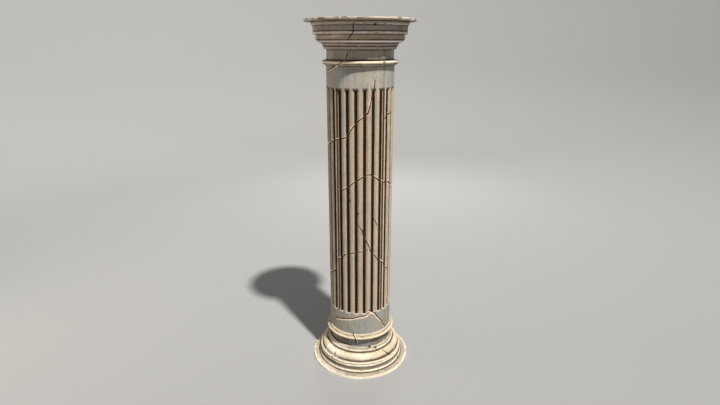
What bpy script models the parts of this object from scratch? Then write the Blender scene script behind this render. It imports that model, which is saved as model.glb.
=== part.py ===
"""Fluted stone column of three blocks that stand on each other: a base, a shaft and a capital.

Units are metres and +Z is up. The origin is the middle of the column's underside, and Z is its
axis. Each block is turned round that axis. One profile of mouldings serves both ends, because the
capital is the base turned over. The flutes are cut into the shaft with a round-nosed tool.
"""

import math

import bmesh
import bpy
from mathutils import Matrix

# Whole column
COLUMN_HEIGHT = 3.000
SHAFT_RADIUS = 0.2735
BED_GAP = 0.0003  # between two blocks, where one stands on the other
MOULDING_SIDES = 48  # sides of the turned base and capital

# Mouldings of the base, from the ground up. Each stands this far out from the shaft's surface.
PLATE_PROUD = 0.1675
BAND_PROUD = 0.1105
FASCIA_PROUD = 0.0995
OVOLO_PROUD = 0.0795
FILLET_PROUD = 0.0325
COLLAR_FOOT_PROUD = 0.0285
COLLAR_PROUD = 0.0145
NECK_INSET = 0.0045  # the neck is the one member narrower than the shaft

# Heights of the same members
PLATE_HEIGHT = 0.022
BAND_HEIGHT = 0.023
BAND_SLOPE_HEIGHT = 0.008
FASCIA_HEIGHT = 0.062
OVOLO_STRAIGHT_HEIGHT = 0.022
OVOLO_CURVE_HEIGHT = 0.040
FILLET_HEIGHT = 0.013
COLLAR_SLOPE_HEIGHT = 0.022
COLLAR_HEIGHT = 0.012
NECK_HEIGHT = 0.078

# V-shaped line cut into the fascia, near its inner edge
GROOVE_WIDTH = 0.006
GROOVE_DEPTH = 0.003
GROOVE_FROM_EDGE = 0.021

# Raised ring at each end of the shaft, with a small listel that sweeps back to the surface
RING_PROUD = 0.033
RING_FOOT_PROUD = 0.0105
RING_HEIGHT = 0.026
RING_LIP_HEIGHT = 0.003
RING_NICK_PROUD = 0.0215
LISTEL_PROUD = 0.0265
LISTEL_RISE = 0.0032
SWEEP_HEIGHT = 0.0165

# Flutes
FLUTE_COUNT = 24
FILLET_BETWEEN_FLUTES = 0.019
FLUTE_DEPTH = 0.015
PLAIN_BELOW_FLUTES = 0.202
PLAIN_ABOVE_FLUTES = 0.158

# Fineness of the curves
OVOLO_STEPS = 5
RING_STEPS = 5
TOOL_SIDES = 18
TOOL_NOSE_STEPS = 4
SMOOTH_ANGLE = math.radians(35)

# Linear base colours of the stone: worn cream at the foot, and darker upwards
STONE_COLOURS = {
    "base": (0.60, 0.50, 0.36, 1.0),
    "shaft": (0.45, 0.38, 0.30, 1.0),
    "capital": (0.33, 0.29, 0.23, 1.0),
}
STONE_ROUGHNESS = 0.85


def clear_scene():
    """Removes whatever the scene holds."""
    for thing in list(bpy.data.objects):
        bpy.data.objects.remove(thing, do_unlink=True)


def stone(name):
    """Material of one block."""
    material = bpy.data.materials.new(f"{name}_stone")
    material.use_nodes = True
    shader = material.node_tree.nodes["Principled BSDF"]
    shader.inputs["Base Color"].default_value = STONE_COLOURS[name]
    shader.inputs["Roughness"].default_value = STONE_ROUGHNESS
    shader.inputs["Metallic"].default_value = 0.0
    return material


def turned(profile, sides, first_angle):
    """Closed bmesh made by turning (radius, height) corners, lowest first, round the Z axis.

    A corner with no radius becomes one point, and an open end is closed by a flat face.
    """
    body = bmesh.new()
    rings = []
    for radius, height in profile:
        if radius == 0.0:
            rings.append([body.verts.new((0.0, 0.0, height))])
            continue
        angles = [first_angle + math.tau * side / sides for side in range(sides)]
        rings.append(
            [
                body.verts.new((radius * math.cos(angle), radius * math.sin(angle), height))
                for angle in angles
            ]
        )
    for lower, upper in zip(rings, rings[1:]):
        for side in range(sides):
            after = (side + 1) % sides
            corners = [lower[side % len(lower)], lower[after % len(lower)]]
            corners += [upper[after % len(upper)], upper[side % len(upper)]]
            body.faces.new(dict.fromkeys(corners))
    if len(rings[0]) > 1:
        body.faces.new(reversed(rings[0]))
    if len(rings[-1]) > 1:
        body.faces.new(rings[-1])
    return body


def moulding_profile():
    """Corners of the base from its underside up to the bed that the shaft stands on."""
    plate = SHAFT_RADIUS + PLATE_PROUD
    band = SHAFT_RADIUS + BAND_PROUD
    fascia = SHAFT_RADIUS + FASCIA_PROUD
    ovolo = SHAFT_RADIUS + OVOLO_PROUD
    fillet = SHAFT_RADIUS + FILLET_PROUD
    collar_foot = SHAFT_RADIUS + COLLAR_FOOT_PROUD
    collar = SHAFT_RADIUS + COLLAR_PROUD
    neck = SHAFT_RADIUS - NECK_INSET
    band_foot = PLATE_HEIGHT
    band_top = band_foot + BAND_HEIGHT
    fascia_foot = band_top + BAND_SLOPE_HEIGHT
    fascia_top = fascia_foot + FASCIA_HEIGHT
    groove = fascia_top - GROOVE_FROM_EDGE
    ovolo_shoulder = fascia_top + OVOLO_STRAIGHT_HEIGHT
    fillet_foot = ovolo_shoulder + OVOLO_CURVE_HEIGHT
    fillet_top = fillet_foot + FILLET_HEIGHT
    collar_foot_height = fillet_top + COLLAR_SLOPE_HEIGHT
    neck_foot = collar_foot_height + COLLAR_HEIGHT
    corners = [
        (plate, 0.0),
        (plate, band_foot),
        (band, band_foot),
        (band, band_top),
        (fascia, fascia_foot),
        (fascia, groove - GROOVE_WIDTH / 2),
        (fascia - GROOVE_DEPTH, groove),
        (fascia, groove + GROOVE_WIDTH / 2),
        (fascia, fascia_top),
        (ovolo, fascia_top),
        (ovolo, ovolo_shoulder),
    ]
    for step in range(1, OVOLO_STEPS + 1):
        turn = math.pi / 2 * step / OVOLO_STEPS
        corners.append(
            (
                fillet + (ovolo - fillet) * math.cos(turn),
                ovolo_shoulder + OVOLO_CURVE_HEIGHT * math.sin(turn),
            )
        )
    corners += [
        (fillet, fillet_top),
        (collar_foot, fillet_top),
        (collar, collar_foot_height),
        (collar, neck_foot),
        (neck, neck_foot),
        (neck, neck_foot + NECK_HEIGHT),
    ]
    return corners


def ring_profile():
    """Corners of the shaft's lower end, up from its bed, to where the plain surface begins."""
    foot = SHAFT_RADIUS + RING_FOOT_PROUD
    crown = SHAFT_RADIUS + RING_PROUD
    nick = SHAFT_RADIUS + RING_NICK_PROUD
    half_height = RING_HEIGHT / 2
    middle = RING_LIP_HEIGHT + half_height
    first_turn = -math.pi / 2
    last_turn = math.acos((nick - foot) / (crown - foot))
    corners = [(foot, 0.0)]
    for step in range(RING_STEPS + 1):
        turn = first_turn + (last_turn - first_turn) * step / RING_STEPS
        corners.append(
            (foot + (crown - foot) * math.cos(turn), middle + half_height * math.sin(turn))
        )
    listel_height = corners[-1][1] + LISTEL_RISE
    corners.append((SHAFT_RADIUS + LISTEL_PROUD, listel_height))
    corners.append((SHAFT_RADIUS, listel_height + SWEEP_HEIGHT))
    return corners


def lifted(profile, height):
    """The same profile, that much higher."""
    return [(radius, z + height) for radius, z in profile]


def turned_over(profile, top):
    """The same profile upside down, with its first corner at the top height, lowest first."""
    return [(radius, top - z) for radius, z in reversed(profile)]


def add_block(name, body):
    """Object of one block, with its material, smooth where the stone is round."""
    mesh = bpy.data.meshes.new(name)
    body.to_mesh(mesh)
    body.free()
    mesh.materials.append(stone(name))
    block = bpy.data.objects.new(name, mesh)
    bpy.context.collection.objects.link(block)
    return block


def smooth(block):
    """Shades the round faces smooth and keeps the corners sharp."""
    block.data.shade_smooth()
    block.data.set_sharp_from_angle(angle=SMOOTH_ANGLE)


def flute_cutter(lowest, highest):
    """Hidden round-nosed rods that cut the flutes, which run between the two heights."""
    pitch = math.tau / FLUTE_COUNT
    half_width = (SHAFT_RADIUS * pitch - FILLET_BETWEEN_FLUTES) / 2
    tool_radius = (half_width**2 + FLUTE_DEPTH**2) / (2 * FLUTE_DEPTH)
    tool_place = SHAFT_RADIUS - FLUTE_DEPTH + tool_radius
    quarters = [math.pi / 2 * step / TOOL_NOSE_STEPS for step in range(TOOL_NOSE_STEPS)]
    nose = [(tool_radius * math.cos(turn), tool_radius * math.sin(turn)) for turn in quarters]
    nose.append((0.0, tool_radius))
    upper = lifted(nose, highest - half_width)
    rod_profile = turned_over(nose, lowest + half_width) + upper
    rod = turned(rod_profile, TOOL_SIDES, math.pi / TOOL_SIDES)
    rod_mesh = bpy.data.meshes.new("flute_rod")
    rod.to_mesh(rod_mesh)
    rod.free()
    rods = bmesh.new()
    for flute in range(FLUTE_COUNT):
        before = len(rods.verts)
        rods.from_mesh(rod_mesh)
        rods.verts.ensure_lookup_table()
        around = Matrix.Rotation((flute + 0.5) * pitch, 4, "Z")
        place = around @ Matrix.Translation((tool_place, 0.0, 0.0))
        bmesh.ops.transform(rods, matrix=place, verts=rods.verts[before:])
    mesh = bpy.data.meshes.new("flute_cutter")
    rods.to_mesh(mesh)
    rods.free()
    bpy.data.meshes.remove(rod_mesh)
    cutter = bpy.data.objects.new("flute_cutter", mesh)
    bpy.context.collection.objects.link(cutter)
    cutter.hide_render = True
    cutter.display_type = "WIRE"
    return cutter


def cut(block, cutter):
    """Takes the cutter's shape out of the block for good, and removes the cutter."""
    boolean = block.modifiers.new("flutes", "BOOLEAN")
    boolean.operation = "DIFFERENCE"
    boolean.solver = "EXACT"
    boolean.use_self = True
    boolean.object = cutter
    shape = block.evaluated_get(bpy.context.evaluated_depsgraph_get())
    carved = bpy.data.meshes.new_from_object(shape)
    block.modifiers.clear()
    block.data = carved
    bpy.data.objects.remove(cutter, do_unlink=True)


def build_base(mouldings):
    """The lowest block, on the ground."""
    block = add_block("base", turned(mouldings, MOULDING_SIDES, 0.0))
    smooth(block)
    return block


def build_capital(mouldings):
    """The topmost block: the base's profile turned over, under the full height."""
    profile = turned_over(mouldings, COLUMN_HEIGHT)
    block = add_block("capital", turned(profile, MOULDING_SIDES, 0.0))
    smooth(block)
    return block


def build_shaft(mouldings):
    """The middle block, between the beds of the other two, with a flat facet on each fillet."""
    ring = ring_profile()
    bed = mouldings[-1][1] + BED_GAP
    lower_end = lifted(ring, bed)
    upper_end = turned_over(ring, COLUMN_HEIGHT - bed)
    sides = 2 * FLUTE_COUNT
    block = add_block("shaft", turned(lower_end + upper_end, sides, math.pi / sides))
    lowest = lower_end[-1][1] + PLAIN_BELOW_FLUTES
    highest = upper_end[0][1] - PLAIN_ABOVE_FLUTES
    cut(block, flute_cutter(lowest, highest))
    smooth(block)
    return block


def build_column():
    """All three blocks."""
    clear_scene()
    mouldings = moulding_profile()
    build_base(mouldings)
    build_shaft(mouldings)
    build_capital(mouldings)


build_column()
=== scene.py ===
"""Looks of a cracked, weathered stone column: one fine mesh for each of its three blocks.

A point on a block's skin has an angle, in degrees to the right of the side that faces the camera,
and a place, in metres along the block's turned outline. Relief and marks are worked out from
those two. Lengths are metres.
"""

import math
import random

import bmesh
import bpy
import numpy as np
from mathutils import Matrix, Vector, noise


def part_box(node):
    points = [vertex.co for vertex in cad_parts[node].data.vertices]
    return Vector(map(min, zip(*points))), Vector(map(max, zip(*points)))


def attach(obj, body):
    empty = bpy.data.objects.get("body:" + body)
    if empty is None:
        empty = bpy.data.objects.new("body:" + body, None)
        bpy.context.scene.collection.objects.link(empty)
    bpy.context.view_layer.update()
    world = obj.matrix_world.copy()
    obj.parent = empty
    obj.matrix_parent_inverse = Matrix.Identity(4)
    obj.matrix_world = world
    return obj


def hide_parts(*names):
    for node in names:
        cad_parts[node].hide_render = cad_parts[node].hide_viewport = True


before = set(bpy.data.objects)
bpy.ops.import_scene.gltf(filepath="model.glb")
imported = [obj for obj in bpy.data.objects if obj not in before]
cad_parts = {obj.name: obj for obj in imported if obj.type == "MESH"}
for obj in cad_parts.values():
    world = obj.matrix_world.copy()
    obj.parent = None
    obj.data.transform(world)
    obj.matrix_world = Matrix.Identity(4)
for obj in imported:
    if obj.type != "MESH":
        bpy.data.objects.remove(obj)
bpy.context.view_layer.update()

# Sizes of the column, as its solids have them
COLUMN_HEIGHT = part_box("capital")[1].z
SHAFT_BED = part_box("shaft")[0].z
SHAFT_RADIUS = 0.2735
BLOCK_HEIGHT = 0.3020  # of the base, and of the capital
FLUTE_COUNT = 24
FLUTE_PITCH = 360.0 / FLUTE_COUNT
FILLET_WIDTH = 0.019
FLUTE_HALF_WIDTH = (math.tau * SHAFT_RADIUS / FLUTE_COUNT - FILLET_WIDTH) / 2
FLUTE_DEPTH = 0.015
FLUTE_CURVE = (FLUTE_HALF_WIDTH**2 + FLUTE_DEPTH**2) / (2 * FLUTE_DEPTH)  # its radius
FLUTE_LOW = 0.5513
FLUTE_HIGH = COLUMN_HEIGHT - 0.5073

# Corners of the base: how far each stands out from the shaft's surface, its height, and its
# paleness, from 0 for grimy grey stone to 1 for clean cream stone
CORE = -0.2300
BASE_FOOT_CORNERS = (
    (CORE, 0.0000, 0.4),
    (0.1675, 0.0000, 0.9),
    (0.1675, 0.0220, 0.9),
    (0.1590, 0.0220, 0.45),
    (0.1105, 0.0220, 0.40),
    (0.1105, 0.0300, 0.9),
    (0.1105, 0.0450, 0.7),
    (0.0995, 0.0530, 0.2),
    (0.0995, 0.0910, 0.1),
    (0.0965, 0.0940, 0.1),
    (0.0995, 0.0970, 0.8),
    (0.0995, 0.1150, 1.0),
    (0.0795, 0.1150, 0.5),
)
OVOLO = ((0.0325, 0.1370), (0.0795, 0.1770))  # the box of its quarter ellipse
BASE_NECK_CORNERS = (
    (0.0325, 0.1900, 0.40),
    (0.0285, 0.1900, 0.45),
    (0.0145, 0.2120, 0.50),
    (0.0145, 0.2240, 0.45),
    (-0.0015, 0.2240, 0.15),
    (-0.0045, 0.2240, 0.1),
    (-0.0045, BLOCK_HEIGHT, 0.1),
    (CORE, BLOCK_HEIGHT, 0.1),
)

# The ring at the shaft's lower end: the box of its half ellipse, how far out its curve stops,
# the listel above it, and where the sweep into the plain surface ends
RING = ((0.0105, SHAFT_BED + 0.0030), (0.0330, SHAFT_BED + 0.0290))
RING_NICK = 0.0215
LISTEL = (0.0265, SHAFT_BED + 0.0305)
SWEEP_TOP = SHAFT_BED + 0.0470

# Lines round the mouldings: pale lines of wear, partly painted highlight on the edges, and dark
# lines of dirt and painted shade in the crevices: height, reach up and down, and strength. The
# capital's heights are measured down from the column's top.
BASE_EDGES = (
    (0.0100, 0.011, 1.2),
    (0.0395, 0.007, 1.2),
    (0.0880, 0.008, 1.0),
    (0.1110, 0.006, 1.1),
    (0.1950, 0.006, 0.7),
    (0.2190, 0.005, 0.6),
)
BASE_GRIME_AND_SHADE = (
    (0.0230, 0.010, 0.9),
    (0.0520, 0.006, 0.55),
    (0.0690, 0.013, 0.40),
    (0.1010, 0.004, 0.6),
    (0.1165, 0.009, 1.0),
    (0.1250, 0.011, 0.9),
    (0.1790, 0.012, 1.0),
    (0.1870, 0.005, 0.8),
    (0.2080, 0.004, 0.7),
    (0.2245, 0.008, 0.5),
    (0.3010, 0.008, 0.7),
)
CAPITAL_EDGES = (
    (0.0040, 0.008, 0.70),
    (0.0445, 0.004, 0.40),
    (0.1055, 0.009, 0.85),
    (0.1895, 0.004, 0.45),
    (0.2130, 0.004, 0.40),
)
CAPITAL_GRIME_AND_SHADE = (
    (0.0190, 0.006, 0.7),
    (0.0225, 0.009, 1.0),
    (0.0530, 0.005, 0.8),
    (0.0925, 0.005, 1.0),
    (0.1165, 0.006, 1.0),
    (0.1540, 0.007, 0.9),
    (0.1790, 0.006, 1.0),
    (0.2020, 0.008, 0.9),
    (0.2245, 0.008, 1.0),
    (0.3010, 0.006, 0.9),
)
CAPITAL_PAINTED_GLINT = (0.1675, 0.0048)  # height and reach of the painted highlight line on its ovolo
SHAFT_GRIME_AND_SHADE = (
    (SHAFT_BED + 0.0005, 0.006, 0.9),
    (SHAFT_BED + 0.0274, 0.003, 0.5),
    (SHAFT_BED + 0.0375, 0.004, 1.0),
    (COLUMN_HEIGHT - SHAFT_BED - 0.0274, 0.005, 0.8),
    # A broad band of painted shade under the upper ring
    (COLUMN_HEIGHT - SHAFT_BED - 0.0420, 0.012, 0.75),
    (COLUMN_HEIGHT - SHAFT_BED - 0.0010, 0.009, 1.0),
)

# Wear of the outline's corners
ARRIS_WEAR = 0.0028
CREVICE_FILL = 0.0012
CORNER_TURN = math.radians(24)  # a sharper bend of the outline is a corner

# Wear of the skins: broad, middling and rough bumps, bites out of arrises and flute edges, and
# the margin in which all of it fades out towards a bed
BUMP_SIZES = (0.110, 0.032, 0.013)
BUMP_SEEDS = (3.0, 11.0, 23.0)
BUMP_DEPTHS = (0.0008, 0.0005, 0.0003)
ARRIS_REACH = 0.0075
ARRIS_RUB = 0.0008
ARRIS_BITE = 0.0034
FLUTE_RUB = 0.0018
FLUTE_EDGE_REACH = 0.0030
FLUTE_BITE = 0.0022
BED_MARGIN = 0.004

# Cracks: spacing of the points of their jagged lines, how far those stray in degrees and metres,
# how deep a crack is, how far off it is felt, how far it takes to widen from its end, and its lip
CRACK_DEPTH = 0.008
JAG_SPACING = 0.011
JAG_SIZES = (0.9, 0.0045)
CRACK_REACH = 0.04
CRACK_TAPER = 0.030
LIP_WIDTH = 0.016
LIP_WEAR = 0.0018

# Stained lines beside four fillets, the same in every quarter of a turn from front to back
LINE_TURN = 42.8
LINE_ANGLES = (LINE_TURN, LINE_TURN + 90.0, 270.0 - LINE_TURN, 360.0 - LINE_TURN)
LINE_HALF_WIDTH = 0.0040
LINE_DEPTH = 0.0030

# Fineness of the skins: columns, those of a flute in half widths from its middle, steps between
# rows, and splits near cracks, as how near a face is and the longest side it may keep
FLUTE_COLUMNS = (-1.361, -1.12, -1.0, -0.88, -0.62, -0.31, 0.0, 0.31, 0.62, 0.88, 1.0, 1.12)
LINE_COLUMNS = (-0.5, 0.5)  # degrees from a stained line
MOULDING_COLUMNS = 432
HIDDEN_STEP = 1.0  # longer than any hidden face, which so gets no rows of its own
TOP_STEP = 0.020
MOULDING_STEP = 0.006
FLUTE_STEP = 0.022
FLUTE_END_STEP = 0.006
FLUTE_END_SPAN = (-0.012, 0.055)  # from a flute's end, inwards
PLAIN_STEP = 0.010
ON_BED = 0.001  # nearer than this is on the bed
PLATE_FLAT = SHAFT_RADIUS + 0.16  # the plates' outer faces are coarser up to here
MOULDING_SPLITS = ((0.016, 0.0045), (0.010, 0.0028))
SHAFT_SPLITS = ((0.030, 0.0125), (0.016, 0.0060), (0.010, 0.0038))
SHARP_ANGLE = math.radians(48)


def smoothstep(low, high, value):
    """0 below low, 1 above high, and a smooth rise between."""
    share = np.clip((value - low) / (high - low), 0.0, 1.0)
    return share * share * (3.0 - 2.0 * share)


def turn_between(angle, other):
    """Degrees from the other angle to this one, the short way round."""
    return (angle - other + 180.0) % 360.0 - 180.0


def arc(box, turns, tones):
    """Corners on an ellipse round the box's inner side: a quarter of it, or its outer half."""
    (inner, low), (outer, high) = box
    if turns[0] < 0:
        middle, rise = (low + high) / 2, (high - low) / 2
    else:
        middle, rise = low, high - low
    return [
        (inner + (outer - inner) * math.cos(turn), middle + rise * math.sin(turn), tone)
        for turn, tone in zip(turns, tones)
    ]


def base_corners():
    """Corners of the base, as (radius, height, paleness), from its underside to its top."""
    ovolo = arc(OVOLO, np.linspace(0.0, math.pi / 2, 15), [1.0] * 15)
    corners = [*BASE_FOOT_CORNERS, *ovolo, *BASE_NECK_CORNERS]
    return [(SHAFT_RADIUS + proud, height, tone) for proud, height, tone in corners]


def ring_corners(foot_tone, nick_tone, listel_tone, sweep_tone):
    """Corners of the shaft's lower end, from its bed to where the plain surface begins."""
    (foot, _), (crown, _) = RING
    turns = np.linspace(-math.pi / 2, math.acos((RING_NICK - foot) / (crown - foot)), 13)
    tones = np.interp(turns, (-1.1, -0.6, 0.1, 0.6), (foot_tone, 1.0, 1.0, nick_tone))
    corners = [(CORE, SHAFT_BED, 0.2), (foot, SHAFT_BED, 0.2), *arc(RING, turns, tones)]
    corners += [(*LISTEL, listel_tone), (0.0, SWEEP_TOP, sweep_tone), (0.0, SWEEP_TOP + 0.003, 0.1)]
    return [(SHAFT_RADIUS + proud, height, tone) for proud, height, tone in corners]


def turned_over(corners):
    """The same corners at the other end of the column, lowest first."""
    return [(radius, COLUMN_HEIGHT - z, tone) for radius, z, tone in reversed(corners)]


def from_top(lines):
    """The same lines, measured down from the column's top."""
    return [(COLUMN_HEIGHT - height, reach, strength) for height, reach, strength in lines]


class Outline:
    """Worn outline of a turned block, read by place."""

    def __init__(self, corners):
        points = [np.array(corners[0])]
        marks = []
        for before, here, after in zip(corners, corners[1:], corners[2:]):
            before, here, after = np.array(before), np.array(here), np.array(after)
            inward, onward = here - before, after - here
            legs = math.hypot(*inward[:2]), math.hypot(*onward[:2])
            turn = math.atan2(onward[1], onward[0]) - math.atan2(inward[1], inward[0])
            turn = (turn + math.pi) % math.tau - math.pi
            if abs(turn) < CORNER_TURN:
                points.append(here)
                continue
            wear = min(ARRIS_WEAR if turn > 0 else CREVICE_FILL, 0.4 * legs[0], 0.4 * legs[1])
            start = here - inward * wear / legs[0]
            end = here + onward * wear / legs[1]
            for share in (0.0, 0.25, 0.5, 0.75, 1.0):
                bend = (1 - share) ** 2 * start + 2 * share * (1 - share) * here + share**2 * end
                points.append(bend)
            marks.append((len(points) - 3, turn))
        points.append(np.array(corners[-1]))
        self.points = np.array(points)
        steps = np.hypot(*np.diff(self.points[:, :2], axis=0).T)
        self.places = np.concatenate([[0.0], np.cumsum(steps)])
        self.arrises = np.array([self.places[i] for i, turn in marks if turn > 0])

    def at(self, place):
        """Radius, height and paleness at each place."""
        return [np.interp(place, self.places, column) for column in self.points.T]

    def outward(self, place):
        """The outline's outward direction at each place, as its radial and upright shares."""
        reach = 0.0006
        radius_after, height_after, _ = self.at(place + reach)
        radius_before, height_before, _ = self.at(place - reach)
        along, up = radius_after - radius_before, height_after - height_before
        length = np.maximum(np.hypot(along, up), 1e-9)
        return up / length, -along / length

    def place_of(self, height):
        """The place at that height, going up the outline."""
        heights = self.points[:, 1] + 1e-7 * np.arange(len(self.points))
        return float(np.interp(height, heights, self.places))

    def closeness(self, place, lines):
        """How near each place is to the lines, at most each line's strength."""
        nearness = np.zeros(len(place))
        for height, reach, strength in lines:
            gap = (place - self.place_of(height)) / reach
            nearness = np.maximum(nearness, strength * np.exp(-(gap**2)))
        return nearness

    def rows(self, step_at):
        """Places of a skin's rows: one at every corner, and between them no gap above the step,
        which step_at gives for the radius and height just past the row before."""
        rows = [0.0]
        for place in self.places[1:]:
            while place - rows[-1] > 1e-6:
                left = place - rows[-1]
                radius, height, _ = self.at(rows[-1] + min(0.0005, left / 2))
                rows.append(rows[-1] + left / math.ceil(left / step_at(radius, height)))
        return rows


class Crack:
    """A crack along points of (angle, height), with a worn lip on one side of it, painted pale,
    partly as painted highlight.
    """

    def __init__(self, points, half_width=0.0062, lip=1.0, lip_above=True, seed=1.0):
        self.points = points
        self.half_width = half_width
        self.lip = lip
        self.lip_above = lip_above
        self.seed = seed

    def lay(self, outline):
        """Works out the crack's jagged line, as angles in degrees and places."""
        corners = [(angle, outline.place_of(height)) for angle, height in self.points]
        line = []
        for (angle_a, place_a), (angle_b, place_b) in zip(corners, corners[1:]):
            run = math.hypot(math.radians(angle_b - angle_a) * SHAFT_RADIUS, place_b - place_a)
            count = max(1, round(run / JAG_SPACING))
            for share in np.arange(count) / count:
                line.append(
                    (angle_a + (angle_b - angle_a) * share, place_a + (place_b - place_a) * share)
                )
        line.append(corners[-1])
        line = np.array(line)
        for column, size in enumerate(JAG_SIZES):
            for i in range(1, len(line) - 1):
                spot = Vector((line[i, 0] * 0.09, line[i, 1] * 18.0, self.seed + 7.0 * column))
                line[i, column] += size * noise.fractal(spot, 1.0, 2.0, 3)
        steps = np.diff(line, axis=0) * (math.radians(1.0) * SHAFT_RADIUS, 1.0)
        self.length = float(np.hypot(*steps.T).sum())
        self.line = line

    def distance(self, angle, place, radius, reach):
        """Distance of each point from the crack, no more than reach, which side of it the point
        is on, and how far the nearest spot of the crack is from the crack's closer end."""
        gap = np.full(len(angle), reach)
        side = np.ones(len(angle))
        along = np.zeros(len(angle))
        metres_per_degree = np.radians(1.0) * radius
        leftward = 1.0 if self.line[-1, 0] >= self.line[0, 0] else -1.0
        low, high = self.line[:, 1].min() - reach, self.line[:, 1].max() + reach
        chosen = np.flatnonzero((place > low) & (place < high))
        for step, (start, end) in enumerate(zip(self.line, self.line[1:])):
            middle, rise = (start[1] + end[1]) / 2, abs(end[1] - start[1])
            close = chosen[np.abs(place[chosen] - middle) < reach + rise]
            across = turn_between(angle[close], start[0]) * metres_per_degree[close]
            up = place[close] - start[1]
            run_x = (end[0] - start[0]) * metres_per_degree[close]
            run_y = end[1] - start[1]
            share = (across * run_x + up * run_y) / np.maximum(run_x**2 + run_y**2, 1e-12)
            share = np.clip(share, 0.0, 1.0)
            away = np.hypot(across - share * run_x, up - share * run_y)
            better = away < gap[close]
            spots = close[better]
            gap[spots] = away[better]
            side[spots] = leftward * np.sign(run_x * up - run_y * across)[better]
            along[spots] = (step + share[better]) / (len(self.line) - 1)
        return gap, side, np.minimum(along, 1.0 - along) * self.length


class Patch:
    """A chip or a stain, centred at an angle and a height, that strengthens one mark."""

    def __init__(self, angle, height, across, up, depth=0.0, mark="scar", strength=1.0, soft=0.2):
        self.angle = angle
        self.height = height
        self.across = across
        self.up = up
        self.depth = depth
        self.mark = mark
        self.strength = strength
        self.soft = soft

    def share(self, angle, place, radius, outline, roughness):
        """1 inside the patch, 0 outside it, and a rough edge between."""
        across = np.radians(turn_between(angle, self.angle)) * radius / self.across
        span = np.hypot(across, (place - outline.place_of(self.height)) / self.up)
        return 1.0 - smoothstep(0.95 - self.soft, 0.95 + self.soft, span + 0.45 * roughness)


def stain(angle, height, across, up, mark, strength=0.8):
    """A soft patch of colour."""
    return Patch(angle, height, across, up, mark=mark, strength=strength, soft=0.7)


def nicks(seed, height, count, size, depth, mark="crack"):
    """Small chips at random angles round an edge."""
    draw = random.Random(seed)
    return [
        Patch(draw.uniform(-180.0, 180.0), height, size * draw.uniform(0.6, 1.8),
              size * draw.uniform(0.35, 0.7), depth * draw.uniform(0.4, 1.0), mark,
              draw.uniform(0.4, 0.9))
        for _ in range(count)
    ]


def evenly(count):
    """That many angles in degrees, all the way round."""
    return [360.0 * i / count for i in range(count)]


def turned(angles, profile):
    """Bmesh with a vertex at every angle and every (radius, height) of the profile, closed at its
    first ring, and the rings of its vertices."""
    mesh = bmesh.new()
    turns = [math.radians(angle) for angle in angles]
    rings = [
        [mesh.verts.new((radius * math.sin(t), -radius * math.cos(t), height)) for t in turns]
        for radius, height in profile
    ]
    for lower, upper in zip(rings, rings[1:]):
        for i, corner in enumerate(lower):
            j = (i + 1) % len(lower)
            mesh.faces.new((corner, lower[j], upper[j], upper[i]))
    mesh.faces.new(reversed(rings[0]))
    return mesh, rings


def new_object(name, data):
    """An object of the scene that holds the data."""
    made = bpy.data.objects.new(name, data)
    bpy.context.collection.objects.link(made)
    return made


def layout(points):
    """Angle in degrees and place of points on a sheet of unit radius."""
    points = np.array(points)
    return np.degrees(np.arctan2(points[:, 0], -points[:, 1])), points[:, 2]


def refine(skin, outline, cracks, reach, least):
    """Splits the faces near the cracks, on every side longer than least."""
    faces = [face for face in skin.faces if len(face.verts) < 8]  # not the two end caps
    angle, place = layout([face.calc_center_median() for face in faces])
    radius = outline.at(place)[0]
    near = np.zeros(len(faces), dtype=bool)
    for crack in cracks:
        near |= crack.distance(angle, place, radius, 2 * reach)[0] < reach
    edges = set()
    for face, radius_here in zip(np.array(faces, dtype=object)[near], radius[near]):
        for edge in face.edges:
            start, end = (vert.co for vert in edge.verts)
            flat = math.hypot(end.x - start.x, end.y - start.y) * radius_here
            if math.hypot(flat, end.z - start.z) > least:
                edges.add(edge)
    bmesh.ops.subdivide_edges(skin, edges=list(edges), cuts=1, use_grid_fill=True)


def field(points, size, seed):
    """Smooth random field, about -1 to 1, at each point, with bumps of that size."""
    shift = Vector((seed, 2.0 * seed, 3.0 * seed))
    places = [Vector(point) / size + shift for point in points]
    return np.array([noise.fractal(place, 1.0, 2.0, 2) for place in places])


def flute_relief(angle, height):
    """Depth of the worn flutes, and how near each point is to their edges."""
    off = np.radians(angle % FLUTE_PITCH - FLUTE_PITCH / 2)
    across = SHAFT_RADIUS * np.sin(off)
    past_low = FLUTE_LOW + FLUTE_HALF_WIDTH - height
    past_high = height - (FLUTE_HIGH - FLUTE_HALF_WIDTH)
    beyond = np.maximum(0.0, np.maximum(past_low, past_high))
    cut = np.sqrt(np.maximum(0.0, FLUTE_CURVE**2 - across**2 - beyond**2))
    cut -= FLUTE_CURVE - FLUTE_DEPTH
    depth = np.maximum((cut + np.sqrt(cut**2 + FLUTE_RUB**2)) / 2 - FLUTE_RUB / 2, 0.0)
    return depth, np.exp(-((cut / FLUTE_EDGE_REACH) ** 2))


def line_relief(angle, height):
    """Depth of the narrow grooves of the stained lines."""
    gap = np.full(len(angle), 1.0)
    for line_angle in LINE_ANGLES:
        turn = np.radians(turn_between(angle, line_angle))
        gap = np.minimum(gap, np.abs(turn) * SHAFT_RADIUS)
    ends = smoothstep(FLUTE_LOW, FLUTE_LOW + 0.01, height)
    ends *= 1.0 - smoothstep(FLUTE_HIGH - 0.01, FLUTE_HIGH, height)
    return LINE_DEPTH * np.exp(-((gap / LINE_HALF_WIDTH) ** 2)) * ends


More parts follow.
